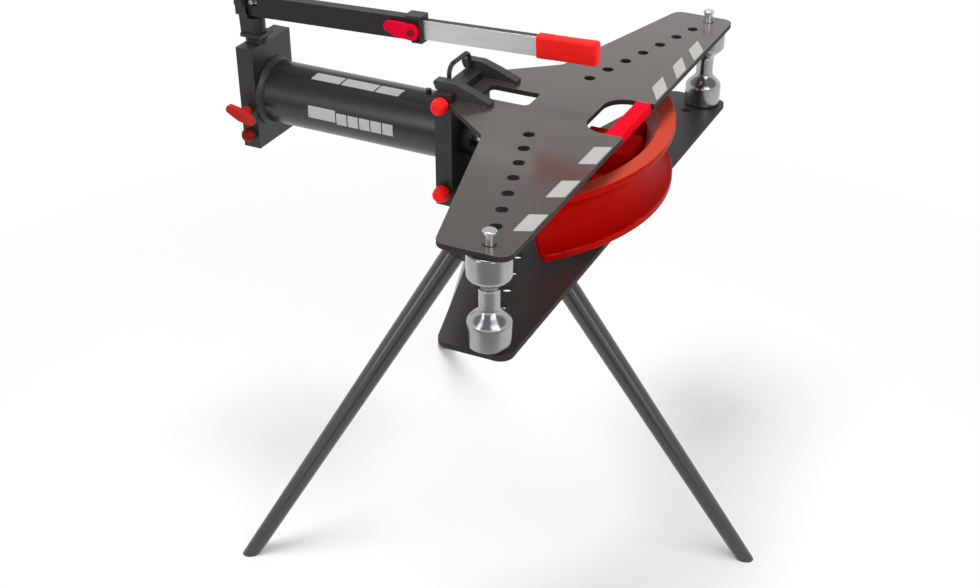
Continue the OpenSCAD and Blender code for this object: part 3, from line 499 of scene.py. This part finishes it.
for number, strip in enumerate(STRIPS):
    jacket_panel(f"jacket_strip_{number}", strip, STRIP_ANGLES, STRIP_SLANT)
jacket_panel("jacket_long_box", LONG_BOX, LONG_BOX_ANGLES)
for number in range(SQUARES):
    left = SQUARE_START + SQUARE_PITCH * number
    jacket_panel(f"jacket_square_{number}", (left, left + SQUARE_WIDTH), SQUARE_ANGLES)

# Welds
HEAD_LOW, HEAD_HIGH = extent("head_block")
BAIL_LOW, BAIL_HIGH = extent("lifting_bail")
BAIL_R = (BAIL_HIGH.x - BAIL_LOW.x) / 2
CUP_LOW, CUP_HIGH = extent("pin_cups")
CUP_R = (CUP_HIGH.x - CUP_LOW.x) / 2
UNDERSIDE = extent("bottom_plate")[0].z
# How far a bead stands off a round foot, and short of a claw's rear and front end, in millimetres
FOOT_OFF, CLAW_REAR, CLAW_FRONT = 0.4, 3, 4
weld("jacket_weld", ring(place(HEAD_LOW.x - 1.5, 0, RAM_Z), JACKET_R + 0.8, Y, Z), 3.0,
     closed=True, pitch=4.0)
weld("collar_weld", ring(place(extent("rear_collar")[1].x, 0, RAM_Z), JACKET_R + 0.3, Y, Z), 1.6,
     closed=True)
for node in ("upper_near_claw", "upper_far_claw", "lower_near_claw", "lower_far_claw"):
    low, high = extent(node)
    foot = 0.0 if node.startswith("upper") else UNDERSIDE
    for side, y in (("near", low.y), ("far", high.y)):
        line = straight(place(HEAD_HIGH.x + CLAW_REAR, y, foot), place(high.x - CLAW_FRONT, y, foot))
        weld(f"{node}_{side}_weld", line, 1.8, pitch=3.0)
for side, y in (("near", BAIL_LOW.y + BAIL_R), ("far", BAIL_HIGH.y - BAIL_R)):
    foot = place((BAIL_LOW.x + BAIL_HIGH.x) / 2, y, BAIL_LOW.z)
    weld(f"bail_{side}_weld", ring(foot, BAIL_R + FOOT_OFF, X, Y, step=0.5), 1.5, closed=True)
for side in ("near", "far"):
    low, high = extent(side + "_pin")
    foot = place((low.x + high.x) / 2, (low.y + high.y) / 2, UNDERSIDE)
    weld(f"{side}_cup_weld", ring(foot, CUP_R + FOOT_OFF, X, Y), 1.5, slot="plate_paint", closed=True)

# Lever: along and up are its own directions, which the handle slides on
JOINTS = {j["name"]: j for j in RECORD["behaviour"]["joints"]}
ALONG = Vector(JOINTS["handle_slide"]["axis"]).normalized()
UP = ALONG.cross(Y)


def lever_box(node):
    """Middle, length, width and height of a box-shaped node that lies along the lever."""
    low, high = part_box(node)
    spread = high - low
    turn = ALONG.x ** 2 - ALONG.z ** 2
    length = (spread.x * ALONG.x - spread.z * ALONG.z) / turn
    height = (spread.z * ALONG.x - spread.x * ALONG.z) / turn
    return (low + high) / 2, length, spread.y, height


def ribbed_grip():
    """A moulded grip: rounded box with shallow ribs across its middle and a bulged front end."""
    middle, length, width, height = lever_box("grip")
    corner, rib_pitch, rib_depth = 5.0 * MM, 5.0 * MM, 0.55 * MM
    start_round, end_round, step, per_corner = 1.6 * MM, 4.5 * MM, 0.5 * MM, 5
    ribs_from, ribs_to = 0.24 * length, 0.76 * length
    count = int(length / step)
    rows = []
    for i in range(count + 1):
        u = length * i / count
        inset = 0.0
        for edge, r in ((u, start_round), (length - u, end_round)):
            if edge < r:
                inset = max(inset, r - math.sqrt(max(0.0, r * r - (r - edge) ** 2)))
        if ribs_from < u < ribs_to:
            inset += rib_depth * (0.5 - 0.5 * math.cos(2 * math.pi * (u - ribs_from) / rib_pitch))
        row = []
        for sy, sz, start in ((1, 1, 0), (-1, 1, 90), (-1, -1, 180), (1, -1, 270)):
            for k in range(per_corner):
                a = math.radians(start + 90 * k / (per_corner - 1))
                across = sy * (width / 2 - corner) + (corner - inset) * math.cos(a)
                raised = sz * (height / 2 - corner) + (corner - inset) * math.sin(a)
                row.append(middle + ALONG * (u - length / 2) + Y * across + UP * raised)
        rows.append(row)
    bm = bmesh.new()
    skin(bm, rows)
    piece = show("ribbed_grip", bm, FINISHES["red_plastic"], "handle", smooth=35.0)
    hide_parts("grip")


def bar_top_dark_reflection():
    """A dark sheet along the top of the sliding bar: a painted dark reflection on its top face."""
    middle, length, _, height = lever_box("slide_bar")
    half_l, half_w, top = length / 2 - 2 * MM, 5.0 * MM, height / 2
    sunk, proud = 0.2 * MM, 0.15 * MM
    corners = ((-half_l, -half_w), (half_l, -half_w), (half_l, half_w), (-half_l, half_w))
    bm = bmesh.new()
    skin(bm, [[middle + ALONG * u + Y * v + UP * w for u, v in corners]
              for w in (top - sunk, top + proud)])
    show("bar_top_dark_reflection", bm, FINISHES["black_oxide"], "handle")


def latch_dimple():
    """The small dark plug in the latch's free end."""
    low, high = extent("latch")
    radius, deep, rim, sides = 2.4, 0.35, 0.5, 20
    from_end, over_middle = 8.5, 1.0
    spot = place(low.x + from_end, low.y, (low.z + high.z) / 2 + over_middle)
    bm = bmesh.new()
    skin(bm, [circle(spot - Y * out * MM, (radius - inset) * MM, X, Z, sides)
              for inset, out in ((0.0, -deep), (0.0, deep / 2), (rim, deep))])
    show("latch_dimple", bm, FINISHES["black_oxide"], BODY_OF["latch"])


def springy_coil(node="return_spring"):
    """A copy of the return spring between the piston and the gland, which stands for the node and rides on
    no body.
    """
    bm = bmesh.new()
    bm.from_mesh(NODES[node].data)
    piece = show("springy_" + node, bm, FINISHES[SLOT_OF[node]], None)
    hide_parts(node)
    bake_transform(piece)


ribbed_grip()
bar_top_dark_reflection()
latch_dimple()
springy_coil()

# Stage

# The way to the camera along the floor, and where the paper ends there, so that steel mirrors a darker room
TOWARDS_CAMERA = (0.43, -0.9, 0.0)
PAPER_END = (0.85, 1.35)
# The shadow shows most by the feet: it fades towards the middle and away from the object, in metres
UNDER_FADE, PAPER_FADE = (0.2, 0.42), (0.6, 1.5)
# How much of the paper glows by itself where the camera looks, by those two fades, and in mirrors
UNDER_GLOW, PAPER_GLOW, MIRRORED_GLOW = (0.85, 0.15), (0.0, 0.85), 0.72
WHITE, SHEET, DARK_ROOM = rgba((1.0, 1.0, 1.0)), rgba((0.96, 0.96, 0.96)), rgba((0.2, 0.2, 0.205))
FLOOR_SIZE = 20.0


def floor_paper():
    """White studio paper that keeps the object's shadow."""
    material = bpy.data.materials.new("studio paper")
    material.use_nodes = True
    paper = Nodes(material.node_tree)
    where = paper.node("ShaderNodeTexCoord", out="Object")
    forward = paper.node("ShaderNodeVectorMath", {"operation": "DOT_PRODUCT"},
                         {0: where, 1: TOWARDS_CAMERA}, "Value")
    away = paper.node("ShaderNodeVectorMath", {"operation": "LENGTH"}, {0: where}, "Value")
    seen = paper.node("ShaderNodeLightPath", out="Is Camera Ray")
    mirrored = paper.node("ShaderNodeLightPath", out="Is Glossy Ray")
    room = mirrored * paper.between(forward, *PAPER_END)
    glow = paper.node("ShaderNodeEmission", None,
                      {"Color": paper.mix(room, WHITE, DARK_ROOM), "Strength": 1.0})
    sheet = paper.node("ShaderNodeBsdfDiffuse", None, {"Color": SHEET})
    glare = paper.between(away, *UNDER_FADE, *UNDER_GLOW) + paper.between(away, *PAPER_FADE, *PAPER_GLOW)
    share = seen * glare + mirrored * MIRRORED_GLOW
    shown = paper.node("ShaderNodeMixShader", None, {0: share, 1: sheet, 2: glow})
    paper.end("ShaderNodeOutputMaterial", shown)
    return material


floor_mesh = bpy.data.meshes.new("floor")
floor_bm = bmesh.new()
bmesh.ops.create_grid(floor_bm, x_segments=1, y_segments=1, size=FLOOR_SIZE)
floor_bm.to_mesh(floor_mesh)
floor_bm.free()
floor_mesh.materials.append(floor_paper())
floor = bpy.data.objects.new("floor", floor_mesh)
bpy.context.scene.collection.objects.link(floor)

# Sky: its tone low down as light and in mirrors, its tone higher up, and the heights of the fade
LOW_SKY, MIRRORED_SKY, HIGH_SKY = (1.25, 1.25, 1.25, 1.0), WHITE, rgba((0.3, 0.3, 0.305))
SKY_FADE = (0.355, 0.5)


def studio_sky():
    """A pale room, brightest low down, that the camera sees as plain white."""
    world = bpy.data.worlds.new("studio")
    bpy.context.scene.world = world
    world.use_nodes = True
    sky = Nodes(world.node_tree)
    way = sky.node("ShaderNodeTexCoord", out="Generated")
    height = sky.node("ShaderNodeSeparateXYZ", None, {0: way}, "Z")
    mirrored = sky.node("ShaderNodeLightPath", out="Is Glossy Ray")
    low = sky.mix(mirrored, LOW_SKY, MIRRORED_SKY)
    tone = sky.mix(sky.between(height, *SKY_FADE), low, HIGH_SKY)
    light = sky.node("ShaderNodeBackground", None, {"Color": tone})
    white = sky.node("ShaderNodeBackground", None, {"Color": WHITE})
    seen = sky.node("ShaderNodeLightPath", out="Is Camera Ray")
    shown = sky.node("ShaderNodeMixShader", None, {0: seen, 1: light, 2: white})
    sky.end("ShaderNodeOutputWorld", shown)


def softbox(name, spot, target, size, power, sheen_only=False):
    """An area lamp, in metres and watts, aimed at a point. A sheen lamp shows in gloss alone."""
    lamp = bpy.data.lights.new(name, "AREA")
    lamp.shape = "RECTANGLE"
    lamp.size, lamp.size_y = size
    lamp.energy = power
    holder = bpy.data.objects.new(name, lamp)
    bpy.context.scene.collection.objects.link(holder)
    holder.location = spot
    holder.visible_diffuse = not sheen_only
    holder.rotation_euler = (Vector(target) - Vector(spot)).to_track_quat("-Z", "Y").to_euler()


studio_sky()
softbox("key", (-0.3, 0.1, 3.3), (0.0, 0.0, 0.6), (1.1, 1.1), 62.0)
softbox("fill", (2.2, -1.6, 2.6), (0.1, 0.0, 0.6), (1.8, 1.8), 22.0)
softbox("left panel", (-0.85, -1.95, 1.7), (-0.05, -0.2, 0.5), (0.6, 1.6), 7.5, sheen_only=True)
softbox("right panel", (2.15, -1.1, 1.5), (0.3, 0.0, 0.4), (0.4, 1.6), 5.0, sheen_only=True)

# Camera, fitted to the photograph: its spot in millimetres from the bench mark, and its line of sight
PHOTO_WIDTH, FOCAL_PIXELS, SENSOR_WIDTH = 980.0, 1442.0, 36.0
CAMERA_SPOT, LINE_OF_SIGHT = (632.2, -1785.2, 868.4), Vector((-0.3728, 0.7655, -0.5244))
camera_data = bpy.data.cameras.new("camera")
camera_data.sensor_width = SENSOR_WIDTH
camera_data.lens = FOCAL_PIXELS / PHOTO_WIDTH * SENSOR_WIDTH
camera_data.clip_end = 100.0
camera = bpy.data.objects.new("camera", camera_data)
bpy.context.scene.collection.objects.link(camera)
camera.location = place(*CAMERA_SPOT)
camera.rotation_euler = LINE_OF_SIGHT.to_track_quat("-Z", "Y").to_euler()
bpy.context.scene.camera = camera
bpy.context.scene.view_settings.view_transform = "Standard"
